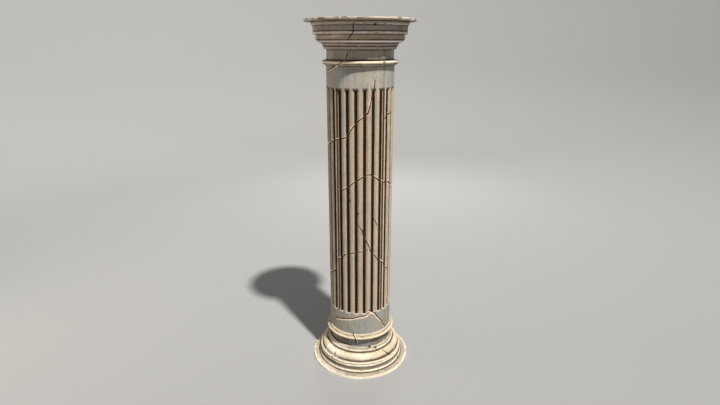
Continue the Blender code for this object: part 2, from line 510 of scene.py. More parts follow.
def carve(name, outline, skin, look):
    """Gives a refined sheet its shape, wear and marks, and makes it a piece."""
    angle, place = layout([vert.co for vert in skin.verts])
    radius, height, tone = outline.at(place)
    out_radius, out_height = outline.outward(place)
    turn = np.radians(angle)
    points = np.column_stack([radius * np.sin(turn), -radius * np.cos(turn), height])
    bumps = [field(points, size, seed) for size, seed in zip(BUMP_SIZES, BUMP_SEEDS)]
    _, middling, rough = bumps
    bitten = smoothstep(0.10, 0.55, middling + 0.5 * rough)

    gap = np.abs(place[:, None] - outline.arrises[None, :]).min(axis=1)
    arris = np.exp(-((gap / ARRIS_REACH) ** 2))
    depth = sum(size * bump for size, bump in zip(BUMP_DEPTHS, bumps))
    depth += arris * (ARRIS_RUB + ARRIS_BITE * bitten)
    if look["fluted"]:
        flute, flute_edge = flute_relief(angle, height)
        depth += flute + flute_edge * FLUTE_BITE * bitten + line_relief(angle, height)

    stains = ("crack", "lip", "scar", "warm", "cool", "blue", "pink", "soot", "pale", "rust",
              "painted_highlight")
    marks = {mark: np.zeros(len(angle)) for mark in stains}
    marks["tone"] = tone
    marks["edge"] = outline.closeness(place, look["edges"])
    marks["grime"] = outline.closeness(place, look["grime"])
    # The painted glint: a painted highlight along the capital's ovolo, strongest a little right of
    # the front, towards the key light
    if look["glint"]:
        fade = 0.55 + 0.45 * np.exp(-((turn_between(angle, 18.0) / 45.0) ** 2))
        marks["glint"] = outline.closeness(place, [(*look["glint"], 1.0)]) * fade

    for crack in look["cracks"]:
        gap, side, end_gap = crack.distance(angle, place, radius, CRACK_REACH)
        taper = smoothstep(-0.004, CRACK_TAPER, end_gap)
        width = crack.half_width * (0.55 + 0.45 * taper) * (1.0 + 0.35 * rough)
        cleft = np.clip(1.0 - gap / width, 0.0, 1.0) * (end_gap > 0)
        lip_side = side > 0 if crack.lip_above else side < 0
        lip_width = LIP_WIDTH * (1.0 + 0.5 * middling)
        lip = np.clip(1.0 - (gap - 0.5 * width) / lip_width, 0.0, 1.0)
        lip = np.where(lip_side, lip, lip * 0.25) * taper * crack.lip
        depth += CRACK_DEPTH * taper * cleft**0.8 + LIP_WEAR * lip
        cleft = np.minimum(cleft * 1.6, 1.0) * (0.45 + 0.55 * taper)
        marks["crack"] = np.maximum(marks["crack"], cleft)
        marks["lip"] = np.maximum(marks["lip"], lip)
    for patch in look["patches"]:
        share = patch.share(angle, place, radius, outline, middling)
        depth += patch.depth * share
        marks[patch.mark] = np.maximum(marks[patch.mark], share * patch.strength)

    # The beds, where the blocks touch, stay flat
    free = smoothstep(0.0, BED_MARGIN, height - outline.points[0, 1])
    if not look["bare_top"]:
        free *= smoothstep(0.0, BED_MARGIN, outline.points[-1, 1] - height)
    at_end = np.minimum(place, outline.places[-1] - place) < 1e-6
    depth = np.where(at_end, 0.0, depth) * free
    radius = np.maximum(radius - out_radius * depth, 0.001)
    height = height - out_height * depth

    for vert, r, t, z in zip(skin.verts, radius, turn, height):
        vert.co = (r * math.sin(t), -r * math.cos(t), z)
    mesh = bpy.data.meshes.new(name)
    skin.to_mesh(mesh)
    skin.free()
    for mark, values in marks.items():
        layer = mesh.attributes.new(mark, "FLOAT", "POINT")
        layer.data.foreach_set("value", values.astype(np.float32))
    mesh.shade_smooth()
    mesh.set_sharp_from_angle(angle=SHARP_ANGLE)
    return new_object(name, mesh)


def moulding_step(radius, height):
    """Row step of the base and capital: coarse on what nobody sees, fine elsewhere."""
    from_end = min(height, COLUMN_HEIGHT - height)
    if radius < SHAFT_RADIUS and abs(from_end - BLOCK_HEIGHT) < ON_BED:
        return HIDDEN_STEP
    if from_end < ON_BED and radius < PLATE_FLAT:
        return HIDDEN_STEP if height < ON_BED else TOP_STEP
    return MOULDING_STEP


def shaft_step(radius, height):
    """Row step of the shaft, finest at the flutes' ends."""
    if radius < SHAFT_RADIUS - 0.01:
        return HIDDEN_STEP
    past_end = min(height - FLUTE_LOW, FLUTE_HIGH - height)
    if past_end > FLUTE_END_SPAN[1]:
        return FLUTE_STEP
    if past_end > FLUTE_END_SPAN[0]:
        return FLUTE_END_STEP
    return PLAIN_STEP


# Cracks and marks, as the photo shows them on the side that faces the camera. At the back the
# long cracks are carried on, and a few more are guessed.
SHAFT_CRACKS = [
    Crack([(-152, 1.905), (-131, 1.930), (-112, 1.985), (-92, 2.010), (-73.7, 2.035),
           (-61.1, 2.055), (-48.6, 2.080), (-36, 2.097), (-25, 2.115), (-20.3, 2.137),
           (-15.6, 2.175), (-9.3, 2.212), (-4.6, 2.242), (2.4, 2.265), (8, 2.287), (12.7, 2.310),
           (15.9, 2.362), (19, 2.415), (22.2, 2.490), (24.7, 2.557)], seed=1.3),
    Crack([(43.2, 2.248), (50.4, 2.270), (58.3, 2.288), (63.5, 2.298)], half_width=0.0072,
          seed=2.1),
    Crack([(-45.4, 1.668), (-34.4, 1.668), (-28.1, 1.687), (-21.8, 1.707), (-14, 1.737),
           (-6.1, 1.767), (3.3, 1.792), (11.2, 1.812), (19, 1.812), (25.3, 1.796), (31.6, 1.772),
           (37.9, 1.748), (45.7, 1.735), (56.7, 1.725), (66.2, 1.707), (74, 1.692), (92, 1.655),
           (108, 1.610), (127, 1.590), (146, 1.605), (163, 1.560), (178, 1.500), (190, 1.480)],
          seed=3.7),
    Crack([(-5.2, 1.387), (0.2, 1.365), (3.3, 1.335), (4.2, 1.305), (8, 1.26), (11.2, 1.237),
           (14.3, 1.207), (17.4, 1.17), (20, 1.14), (25.3, 1.102), (30, 1.08), (36.3, 1.04),
           (42.6, 1.025), (47.3, 1.002), (52, 0.965), (56.7, 0.942), (61.4, 0.923)], seed=4.9),
    Crack([(63, 0.822), (69, 0.818)], half_width=0.004, seed=5.2),
    Crack([(25.3, 1.44), (28.4, 1.41), (31.6, 1.365), (33.2, 1.327)], seed=6.6),
    Crack([(14.3, 1.150), (4.9, 1.146), (-3, 1.143), (-14, 1.132), (-21.8, 1.121), (-28.1, 1.106),
           (-32.9, 1.087), (-39.1, 1.062), (-43.9, 1.047), (-48.6, 1.01), (-51.7, 0.965),
           (-53.3, 0.927), (-58, 0.912), (-67.4, 0.882), (-73.7, 0.867), (-95, 0.835),
           (-118, 0.815), (-139, 0.840), (-158, 0.900)], seed=7.4),
    Crack([(14.2, 0.592), (19, 0.570), (23.7, 0.557), (28.4, 0.537), (33.2, 0.507), (39.4, 0.47),
           (45.7, 0.425), (50.4, 0.38), (57.0, 0.350)], lip_above=False, seed=8.8),
    Crack([(-55.3, 0.450), (-42.3, 0.467), (-29.7, 0.482), (-17.1, 0.497), (-4.6, 0.515),
           (4.9, 0.53), (11.2, 0.537), (18.2, 0.566)], lip_above=False, seed=9.5),
    Crack([(-75.3, 2.61), (-61.1, 2.63), (-45.5, 2.652), (-27.75, 2.677), (-23, 2.70)],
          half_width=0.005, lip_above=False, seed=10.1),
    Crack([(-15, 0.375), (-14, 0.361), (-7.75, 0.321), (-7.3, 0.29)], half_width=0.0055, seed=11.3),
    Crack([(104, 2.470), (112, 2.380), (121, 2.310), (137, 2.270), (155, 2.235), (171, 2.150),
           (184, 2.120)], seed=21.4),
    Crack([(150, 1.180), (141, 1.110), (137, 1.030), (126, 0.970), (117, 0.900)], seed=22.6),
    Crack([(-172, 0.560), (-150, 0.520), (-128, 0.500), (-110, 0.455)], lip_above=False, seed=23.9),
]
SHAFT_PATCHES = [
    Patch(-17.8, 1.593, 0.006, 0.018, 0.004, "crack", 0.9),
    Patch(-3.6, 1.49, 0.006, 0.016, 0.004, "crack", 0.9),
    Patch(36.5, 2.683, 0.010, 0.012, 0.007, "crack", 0.9),
    stain(54, 2.683, 0.075, 0.014, "pink", 1.0),
    # A painted highlight along the upper ring's top
    stain(-22, 2.683, 0.420, 0.014, "painted_highlight", 0.9),
    stain(10, 1.05, 0.035, 0.09, "warm"),
    stain(24, 0.80, 0.025, 0.20, "warm", 0.6),
    stain(20, 1.28, 0.030, 0.10, "warm", 0.7),
    stain(9, 2.33, 0.025, 0.09, "warm", 0.8),
    stain(30, 2.47, 0.020, 0.06, "warm", 0.7),
    stain(-3, 0.60, 0.030, 0.10, "warm", 0.7),
    stain(0, 2.10, 0.045, 0.20, "warm", 0.4),
    stain(-30, 2.25, 0.014, 0.30, "cool", 0.5),
    stain(-22, 2.10, 0.010, 0.18, "cool", 0.7),
    stain(-40, 2.53, 0.050, 0.07, "cool", 0.5),
    stain(60, 2.55, 0.040, 0.09, "cool", 0.5),
    stain(-12, 0.42, 0.040, 0.08, "cool", 0.4),
    stain(2, 1.00, 0.012, 0.22, "cool", 0.6),
    stain(17, 0.45, 0.050, 0.06, "cool", 0.3),
    stain(-65, 1.35, 0.030, 0.50, "soot", 0.35),
    stain(-66, 2.56, 0.050, 0.08, "warm", 0.3),
    stain(52, 2.687, 0.045, 0.012, "pale", 0.9),
    # Painted shade in the shadow under the upper ring
    stain(-20, 2.62, 0.060, 0.025, "cool", 0.8),
    stain(-12, 2.635, 0.140, 0.034, "soot", 0.4),
    stain(20, 2.63, 0.120, 0.015, "cool", 0.3),
    stain(160, 1.90, 0.060, 0.30, "warm", 0.5),
    stain(-130, 1.20, 0.060, 0.25, "warm", 0.5),
    stain(120, 0.75, 0.050, 0.20, "cool", 0.5),
    stain(-160, 2.30, 0.060, 0.20, "cool", 0.5),
]
BASE_CRACKS = [
    Crack([(-7.3, 0.31), (-7.5, 0.28), (-7.25, 0.232)], half_width=0.0060, seed=12.3),
    Crack([(-9.8, 0.285), (-8.0, 0.255), (-7.4, 0.232)], half_width=0.0035, seed=12.9),
    Crack([(-39.5, 0.164), (-41.25, 0.137), (-44.5, 0.115), (-43.75, 0.098)], seed=13.4),
    Crack([(37.0, 0.176), (40.75, 0.165), (49.75, 0.115), (51.0, 0.104)], half_width=0.005, lip=0.3,
          seed=14.6),
    Crack([(142, 0.290), (147, 0.228), (149, 0.190), (158, 0.150), (160, 0.118)],
          half_width=0.005, seed=24.1),
    Crack([(-128, 0.175), (-124, 0.140), (-121, 0.100), (-122, 0.060)], half_width=0.005,
          seed=25.3),
]
BASE_PATCHES = [
    Patch(17.25, 0.223, 0.014, 0.015, 0.007, "crack", 1.0),
    Patch(28.5, 0.203, 0.012, 0.009, 0.006, "crack", 0.8),
    Patch(-43.75, 0.064, 0.022, 0.012, 0.005, "soot", 1.0),
    Patch(-44.5, 0.113, 0.011, 0.009, 0.006, "crack", 0.9),
    Patch(64.75, 0.028, 0.012, 0.012, 0.006, "crack", 0.8),
    stain(-45, 0.070, 0.120, 0.022, "soot", 0.8),
    stain(-30, 0.270, 0.060, 0.040, "soot", 0.5),
    stain(-14, 0.250, 0.030, 0.040, "cool", 0.8),
    stain(12, 0.235, 0.060, 0.020, "cool", 0.4),
    stain(-50, 0.022, 0.090, 0.020, "warm", 0.5),
    stain(60, 0.022, 0.090, 0.025, "warm", 0.5),
    # Painted highlights on the plate's rim at both sides, where it turns from the lights
    stain(-85, 0.022, 0.420, 0.008, "painted_highlight", 0.9),
    stain(85, 0.022, 0.420, 0.008, "painted_highlight", 0.9),
    stain(8, 0.022, 0.070, 0.022, "warm", 0.4),
    # Painted light on the plate's left side
    stain(-52, 0.022, 0.160, 0.050, "pale", 0.5),
    stain(-28, 0.022, 0.090, 0.030, "pink", 0.8),
    stain(22, 0.022, 0.080, 0.030, "pink", 0.6),
    stain(66, 0.022, 0.100, 0.030, "pink", 0.8),
    stain(-8, 0.150, 0.040, 0.030, "pink", 0.5),
    stain(150, 0.022, 0.120, 0.030, "pink", 0.6),
    stain(140, 0.070, 0.100, 0.022, "soot", 0.6),
    stain(-150, 0.260, 0.060, 0.040, "soot", 0.4),
    # Painted light on the ovolo, collar and fascia at the base's left side
    stain(-48, 0.150, 0.110, 0.040, "pale", 0.9),
    stain(-50, 0.205, 0.090, 0.020, "pale", 0.5),
    stain(-60, 0.090, 0.090, 0.016, "pale", 0.4),
    stain(4, 0.160, 0.070, 0.030, "pale", 0.5),
    *nicks(31, 0.022, 9, 0.012, 0.005, "soot"),
    *nicks(32, 0.115, 6, 0.010, 0.004, "soot"),
    *nicks(33, 0.045, 4, 0.010, 0.004, "soot"),
    *nicks(34, 0.190, 4, 0.008, 0.003, "soot"),
]
CAPITAL_CRACKS = [
    Crack([(-6.25, 2.974), (-8.5, 2.938), (-8, 2.907), (-10.25, 2.881), (-15.25, 2.845)],
          half_width=0.0042, lip=0.15, seed=15.2),
    Crack([(-22.5, 2.776), (-22, 2.747), (-23.75, 2.715), (-23.0, 2.69)], half_width=0.0045,
          lip=0.6, seed=16.7),
    Crack([(-18.25, 2.776), (-21.25, 2.741), (-19.75, 2.722)], half_width=0.0035, lip=0.6,
          seed=17.1),
    Crack([(165, 2.985), (168, 2.940), (166, 2.900), (171, 2.850)], half_width=0.005, seed=26.2),
    Crack([(-118, 2.776), (-122, 2.740), (-119, 2.700)], half_width=0.005, seed=27.5),
]
CAPITAL_PATCHES = [
    Patch(30.0, 2.709, 0.085, 0.008, 0.0025, "scar", 0.9),
    Patch(22.0, 2.706, 0.050, 0.005, 0.0020, "scar", 0.7),
    Patch(42.0, 2.714, 0.035, 0.010, 0.0025, "scar", 0.8),
    Patch(16.5, 2.950, 0.012, 0.010, 0.006, "crack", 0.8),
    stain(70, 2.742, 0.034, 0.045, "blue", 1.0),
    # Painted light on the ends of the top plate's rim, which turn away from the lights
    stain(-80, 2.988, 0.220, 0.014, "pale", 0.9),
    stain(82, 2.988, 0.200, 0.014, "pale", 0.8),
    stain(-46, 2.925, 0.140, 0.022, "soot", 0.35),
    stain(-30, 2.870, 0.050, 0.012, "pale", 0.5),
    stain(-76, 2.925, 0.050, 0.024, "pale", 0.5),
    stain(-72, 2.955, 0.060, 0.014, "pink", 0.8),
    stain(-76, 2.870, 0.040, 0.022, "pale", 0.6),
    stain(78, 2.870, 0.030, 0.022, "pale", 0.6),
    stain(80, 2.925, 0.030, 0.022, "blue", 0.5),
    # Dims the painted glint towards the left
    stain(-50, 2.8325, 0.130, 0.007, "soot", 0.4),
    stain(-21, 2.752, 0.022, 0.026, "rust", 0.9),
    stain(50, 2.952, 0.150, 0.006, "pale", 0.6),
    stain(-62, 2.74, 0.060, 0.050, "pale", 0.25),
    stain(-64, 2.712, 0.035, 0.025, "warm", 0.8),
    stain(-45, 2.735, 0.025, 0.030, "soot", 0.3),
    stain(-62, 2.920, 0.060, 0.020, "warm", 0.3),
    stain(-55, 2.960, 0.060, 0.014, "warm", 0.5),
    # A painted highlight: a yellowish line under the ovolo's painted glint, on the left
    stain(-42, 2.815, 0.120, 0.008, "warm", 0.8),
    stain(-20, 2.940, 0.200, 0.012, "soot", 0.35),
    stain(52, 2.925, 0.040, 0.020, "soot", 0.4),
    stain(-48, 2.860, 0.090, 0.012, "warm", 0.5),
    stain(-45, 2.893, 0.130, 0.008, "warm", 0.6),
    *nicks(41, 2.994, 26, 0.014, 0.008, "soot"),
    *nicks(45, 2.986, 20, 0.020, 0.003, "soot"),
    *nicks(42, 2.895, 14, 0.010, 0.005, "soot"),
    *nicks(43, 2.955, 8, 0.010, 0.004, "soot"),
    *nicks(44, 2.810, 8, 0.008, 0.004, "soot"),
]

# Skins
base_outline = Outline(base_corners())
capital_outline = Outline(turned_over(base_corners()))
shaft_outline = Outline(
    ring_corners(0.9, 1.0, 0.85, 0.40) + turned_over(ring_corners(0.2, 0.35, 0.35, 0.2))
)

flute_columns = [
    FLUTE_PITCH * (flute + 0.5) + math.degrees(FLUTE_HALF_WIDTH / SHAFT_RADIUS) * column
    for flute in range(FLUTE_COUNT)
    for column in FLUTE_COLUMNS
]
flute_columns += [angle + gap for angle in LINE_ANGLES for gap in LINE_COLUMNS]
flute_columns.sort()
even_columns = evenly(MOULDING_COLUMNS)


def block(name, outline, columns, step_at, splits, **look):
    """One stone block's skin, split finer near its cracks."""
    look = {"glint": None, "fluted": False, "bare_top": False, **look}
    skin, rings = turned(columns, [(1.0, place) for place in outline.rows(step_at)])
    skin.faces.new(rings[-1])
    for crack in look["cracks"]:
        crack.lay(outline)
    for reach, least in splits:
        refine(skin, outline, look["cracks"], reach, least)
    piece = carve(f"{name}_stone", outline, skin, look)
    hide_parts(name)
    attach(piece, "root")
    return piece


shaft = block("shaft", shaft_outline, flute_columns, shaft_step, SHAFT_SPLITS,
              cracks=SHAFT_CRACKS, patches=SHAFT_PATCHES, edges=(), grime=SHAFT_GRIME_AND_SHADE, fluted=True)
base = block("base", base_outline, even_columns, moulding_step, MOULDING_SPLITS,
             cracks=BASE_CRACKS, patches=BASE_PATCHES, edges=BASE_EDGES, grime=BASE_GRIME_AND_SHADE)
capital = block("capital", capital_outline, even_columns, moulding_step, MOULDING_SPLITS,
                cracks=CAPITAL_CRACKS, patches=CAPITAL_PATCHES, edges=from_top(CAPITAL_EDGES),
                grime=from_top(CAPITAL_GRIME_AND_SHADE), bare_top=True,
                glint=(COLUMN_HEIGHT - CAPITAL_PAINTED_GLINT[0], CAPITAL_PAINTED_GLINT[1]))


class Recipe:
    """One material's nodes, made from its shader upwards."""

    def __init__(self, name):
        self.material = bpy.data.materials.new(name)
        self.material.use_nodes = True
        self.nodes = self.material.node_tree.nodes
        self.links = self.material.node_tree.links
        self.shader = self.nodes["Principled BSDF"]

    def plug(self, socket, value):
        """Gives a socket a number, a colour or another node's output."""
        if isinstance(value, bpy.types.NodeSocket):
            self.links.new(value, socket)
        else:
            socket.default_value = value

    def node(self, kind, inputs, **settings):
        """A new node with its settings, and its inputs given by name or number."""
        node = self.nodes.new(f"ShaderNode{kind}")
        for setting, value in settings.items():
            setattr(node, setting, value)
        for socket, value in inputs.items():
            self.plug(node.inputs[socket], value)
        return node

    def coordinates(self):
        return self.node("TexCoord", {}).outputs["Object"]

    def stretched(self, vector, scale):
        """The coordinates with each axis multiplied."""
        return self.node("VectorMath", {0: vector, 1: scale}, operation="MULTIPLY").outputs[0]

    def axes(self, vector):
        return self.node("SeparateXYZ", {0: vector}).outputs

    def math(self, operation, first, second=0.0):
        return self.node("Math", {0: first, 1: second}, operation=operation).outputs[0]

    def product(self, first, *others):
        for other in others:
            first = self.math("MULTIPLY", first, other)
        return first

    def offset(self, value, middle, size):
        """How far the value is from the middle, times a size."""
        return self.product(self.math("SUBTRACT", value, middle), size)

    def rise(self, value, low, high):
        """0 where the value is below low, 1 above high, smooth between; falls if low is above."""
        below, above = (0.0, 1.0) if low < high else (1.0, 0.0)
        ends = {"From Min": min(low, high), "From Max": max(low, high)}
        inputs = {"Value": value, **ends, "To Min": below, "To Max": above}
        return self.node("MapRange", inputs, interpolation_type="SMOOTHSTEP").outputs["Result"]

    def noise(self, vector, scale, detail=3.0, roughness=0.55):
        inputs = {"Vector": vector, "Scale": scale, "Detail": detail, "Roughness": roughness}
        return self.node("TexNoise", inputs).outputs["Fac"]

    def blend(self, share, low, high):
        """The low colour where the share is 0, and the high one where it is 1."""
        low, high = ((*end, 1.0) if isinstance(end, tuple) else end for end in (low, high))
        inputs = {"Factor": share, "A": low, "B": high}
        return self.node("Mix", inputs, data_type="RGBA").outputs["Result"]

    def painted(self, colour, *coats):
        """The colour under coats of paint: each has its share, its greatest strength and paint."""
        for share, most, paint in coats:
            colour = self.blend(self.product(share, most), colour, paint)
        return colour

    def mark(self, name):
        """A mark that the skin carries at its vertices."""
        return self.node("Attribute", {}, attribute_name=name).outputs["Fac"]


class Flutes:
    """Where a point of the shaft lies in the pattern of the flutes, as node outputs."""

    FORK_HEIGHT = 0.028

    def __init__(self, recipe):
        x, y, z = recipe.axes_here
        ragged = recipe.offset(recipe.patches, 0.5, 0.8)
        frayed = recipe.offset(recipe.mottle, 0.5, 7.0)
        faded = recipe.product(recipe.rise(recipe.mottle, 0.44, 0.60), 0.65)
        faded = recipe.math("ADD", faded, 0.20)
        turn = recipe.math("ARCTAN2", x, recipe.product(y, -1.0))
        pitches = recipe.product(turn, FLUTE_COUNT / math.tau)
        signed = recipe.offset(recipe.math("FRACT", pitches), 0.5, FLUTE_PITCH)
        off = recipe.math("ABSOLUTE", signed)
        self.off = recipe.math("ADD", off, ragged)
        self.inside = recipe.product(
            recipe.rise(z, FLUTE_LOW - 0.002, FLUTE_LOW + 0.008),
            recipe.rise(z, FLUTE_HIGH + 0.004, FLUTE_HIGH - 0.008),
        )
        # The dark strip down the middle, dirt and painted shade in the flute's deepest part, which
        # forks at the flute's upper end into painted shadow under its top
        climb = recipe.offset(z, FLUTE_HIGH - self.FORK_HEIGHT, 1.0 / self.FORK_HEIGHT)
        climb = recipe.math("MINIMUM", recipe.math("MAXIMUM", climb, 0.0), 1.0)
        self.off = recipe.math("ADD", self.off, recipe.product(climb, frayed))
        inner = recipe.offset(recipe.math("MAXIMUM", climb, 0.35), 0.35, 5.2)
        outer = recipe.math("ADD", recipe.product(climb, 3.0), 2.7)
        past_inner = recipe.math("SUBTRACT", self.off, inner)
        past_outer = recipe.math("SUBTRACT", self.off, outer)
        self.strip = recipe.product(
            recipe.rise(past_inner, -0.7, 0.0),
            recipe.rise(past_outer, 0.3, -0.3),
            recipe.rise(z, FLUTE_LOW + 0.003, FLUTE_LOW + 0.009),
            recipe.rise(z, FLUTE_HIGH + 0.004, FLUTE_HIGH - 0.003),
            recipe.math("SUBTRACT", 1.0, recipe.product(recipe.rise(climb, 0.2, 0.6), faded)),
        )
        self.tongue = recipe.rise(past_inner, 0.0, -0.7)
        # Painted highlight on the rim round the flute's lower end, which faces up into the key
        # light
        across = recipe.product(off, math.radians(1.0) * SHAFT_RADIUS)
        down = recipe.offset(z, FLUTE_LOW + FLUTE_HALF_WIDTH, -1.0)
        span = recipe.math("ADD", recipe.product(across, across), recipe.product(down, down))
        span = recipe.math("SQRT", span)
        self.lip = recipe.product(
            recipe.rise(span, FLUTE_HALF_WIDTH - 0.004, FLUTE_HALF_WIDTH),
            recipe.rise(span, FLUTE_HALF_WIDTH + 0.007, FLUTE_HALF_WIDTH + 0.003),
            recipe.rise(down, 0.010, 0.020),
        )
        # The flute's left flank, between the strip and the fillet, which faces the key light:
        # painted lighter as painted light
        self.lit_flank = recipe.product(
            recipe.rise(signed, -2.6, -3.2), recipe.rise(signed, -5.2, -4.4)
        )
        # Degrees from the stained lines, below 0 towards the flute's middle
        quarter = recipe.product(recipe.math("ABSOLUTE", turn), 4.0 / math.tau)
        self.from_line = recipe.offset(recipe.math("FRACT", quarter), LINE_TURN / 90.0, 90.0)


class StoneRecipe(Recipe):
    """Nodes of weathered stone: its noises, from broad to fine, and its coats of colour."""

    def __init__(self, name, fluted):
        super().__init__(name)
        here = self.coordinates()
        self.axes_here = self.axes(here)
        self.broad = self.noise(here, 5.0, 3.0)
        self.patches = self.noise(here, 19.0, 4.0)
        self.mottle = self.noise(here, 46.0, 3.0, 0.6)
        self.speckle = self.noise(here, 95.0, 4.0, 0.65)
        self.grain = self.noise(here, 420.0, 2.0, 0.6)
        self.streaks = self.noise(self.stretched(here, (1.0, 1.0, 0.07)), 34.0, 3.0, 0.6)
        self.tint = self.noise(self.stretched(here, (1.0, 1.0, 0.12)), 13.0, 2.0)
        self.hue = self.noise(self.stretched(here, (1.0, 1.0, 0.15)), 22.0, 2.0)
        self.uneven = self.math("ADD", self.offset(self.patches, 0.5, 1.6), 1.0)
        self.flutes = Flutes(self) if fluted else None

    def plain_faces(self, grey, grey_up):
        """Grey stone, the second grey higher up, with soft upright bands of other tints."""
        return self.painted(
            self.blend(self.rise(self.axes_here[2], 0.4, 2.6), grey, grey_up),
            (self.rise(self.tint, 0.50, 0.66), 0.55, (0.26, 0.29, 0.29)),
            (self.rise(self.tint, 0.48, 0.34), 0.40, (0.38, 0.34, 0.24)),
            (self.rise(self.hue, 0.54, 0.68), 0.50, (0.36, 0.31, 0.32)),
            (self.rise(self.streaks, 0.50, 0.70), 0.40, (0.15, 0.14, 0.12)),
        )

    def fluted_faces(self):
        """The flutes' flanks and fillets, darker towards the left as painted shade away from the
        key light, with painted light on the flanks that face it, as they look in the photo.
        """
        lit_towards_right = self.rise(self.axes_here[0], -0.24, 0.12)
        return self.painted(
            self.blend(lit_towards_right, (0.33, 0.295, 0.25), (0.52, 0.44, 0.35)),
            (self.rise(self.broad, 0.50, 0.62), 0.60, (0.43, 0.42, 0.34)),
            (self.rise(self.tint, 0.48, 0.62), 0.45, (0.58, 0.43, 0.31)),
            (self.rise(self.hue, 0.50, 0.64), 0.45, (0.38, 0.37, 0.34)),
            (self.flutes.lit_flank, 0.35, (0.62, 0.46, 0.30)),
            (self.rise(self.streaks, 0.52, 0.72), 0.40, (0.26, 0.21, 0.16)),
            (self.flutes.tongue, 0.85, (0.30, 0.27, 0.22)),
        )

    def moulded(self, colour, cream):
        """Cream stone where the tone mark is high, and fine mottling everywhere."""
        tone = self.mark("tone")
        pale = self.math("ADD", tone, self.offset(self.patches, 0.5, 0.7))
        return self.painted(
            self.blend(self.rise(pale, 0.15, 0.80), colour, cream),
            (self.product(self.rise(self.broad, 0.48, 0.64), tone), 0.40, (0.44, 0.33, 0.20)),
            (self.rise(self.mottle, 0.54, 0.70), 0.35, (0.22, 0.18, 0.13)),
            (self.rise(self.speckle, 0.54, 0.70), 0.40, (0.20, 0.16, 0.12)),
            (self.rise(self.speckle, 0.46, 0.30), 0.35, cream),
        )

    def weathered(self, colour, edge_colour, edge_warm, dirt_and_shade_colour):
        """Rubbed edges, partly painted highlight, the painted glint, dirt and painted shade in the
        crevices, and stains, among them painted highlight, painted light and painted shade.
        """
        worn_and_highlit = self.blend(self.rise(self.hue, 0.50, 0.64), edge_colour, edge_warm)
        edge = self.product(self.mark("edge"), self.uneven)
        dirt_and_shade = self.product(self.mark("grime"), self.uneven)
        return self.painted(
            colour,
            # Pale rubbed edges, partly painted highlight; the painted glint; dirt and painted shade
            # in the crevices
            (self.rise(edge, 0.12, 0.80), 0.92, worn_and_highlit),
            (self.rise(self.mark("glint"), 0.10, 0.55), 0.97, (0.98, 0.90, 1.0)),
            (self.rise(dirt_and_shade, 0.12, 0.85), 0.88, dirt_and_shade_colour),
            (self.mark("warm"), 0.60, (0.60, 0.42, 0.30)),
            (self.mark("cool"), 0.60, (0.25, 0.30, 0.34)),
            (self.mark("blue"), 0.80, (0.52, 0.60, 0.68)),
            (self.mark("pink"), 0.55, (0.62, 0.46, 0.42)),
            (self.mark("rust"), 0.70, (0.42, 0.26, 0.13)),
            # Pale stains: paler stone, and painted light on sides turned away from the key light
            (self.mark("pale"), 0.80, edge_colour),
            (self.mark("painted_highlight"), 0.85, (0.97, 0.82, 0.62)),
            (self.mark("soot"), 0.75, (0.13, 0.10, 0.06)),
        )

    def flute_marks(self, colour, edge_colour):
        """The flutes' lower rims with painted highlight, the stained lines, and the dark strips of
        dirt and painted shade with their halo.
        """
        flutes = self.flutes
        gap = flutes.from_line
        inner_side = self.product(self.rise(gap, -3.4, -2.4), self.rise(gap, 0.3, -0.2))
        outer_side = self.product(self.rise(gap, 1.2, 2.0), self.rise(gap, 5.4, 4.6))
        line = self.rise(self.math("ABSOLUTE", gap), 1.7, 1.0)
        halo = self.rise(flutes.off, 4.0, 2.8)
        return self.painted(
            colour,
            (self.product(flutes.lip, self.uneven), 0.80, (0.84, 0.80, 0.70)),
            (self.product(inner_side, flutes.inside), 0.15, (0.30, 0.21, 0.14)),
            (self.product(outer_side, flutes.inside), 0.30, edge_colour),
            (self.product(line, flutes.inside), 0.98, (0.070, 0.034, 0.014)),
            (self.product(halo, flutes.inside), 0.50, (0.22, 0.12, 0.045)),
            (flutes.strip, 0.98, (0.019, 0.007, 0.001)),
        )

    def cracked(self, colour, edge_colour):
        """Pale scuffs, the cracks' worn lips painted pale, partly as painted highlight, which
        darken inside the strips, and the cracks.
        """
        scuffed = self.rise(self.product(self.mark("scar"), self.uneven), 0.25, 0.85)
        colour = self.blend(scuffed, colour, (0.84, 0.72, 0.65))
        lip_strength, lip_colour, crack_colour = 0.90, edge_colour, (0.040, 0.020, 0.008)
        if self.flutes:
            strip = self.flutes.strip
            lip_strength = self.math("SUBTRACT", 0.90, self.product(strip, 0.66))
            lip_colour = self.blend(strip, (0.86, 0.70, 0.53), (0.30, 0.17, 0.08))
            crack_colour = (0.085, 0.042, 0.018)
        return self.painted(
            colour,
            (self.rise(self.mark("lip"), 0.18, 0.60), lip_strength, lip_colour),
            (self.rise(self.mark("crack"), 0.12, 0.55), 0.95, crack_colour),
        )

    def finish(self, colour):
        """Gives the shader the colour, a dull surface and fine bumps."""
        self.plug(self.shader.inputs["Base Color"], colour)
        dull = self.math("ADD", self.product(self.speckle, 0.22), 0.72)
        self.plug(self.shader.inputs["Roughness"], dull)
        self.shader.inputs["Specular IOR Level"].default_value = 0.05
        relief = self.math("ADD", self.speckle, self.product(self.grain, 0.35))
        bump = self.node("Bump", {"Strength": 0.8, "Distance": 0.0025, "Height": relief})
        self.plug(self.shader.inputs["Normal"], bump.outputs["Normal"])


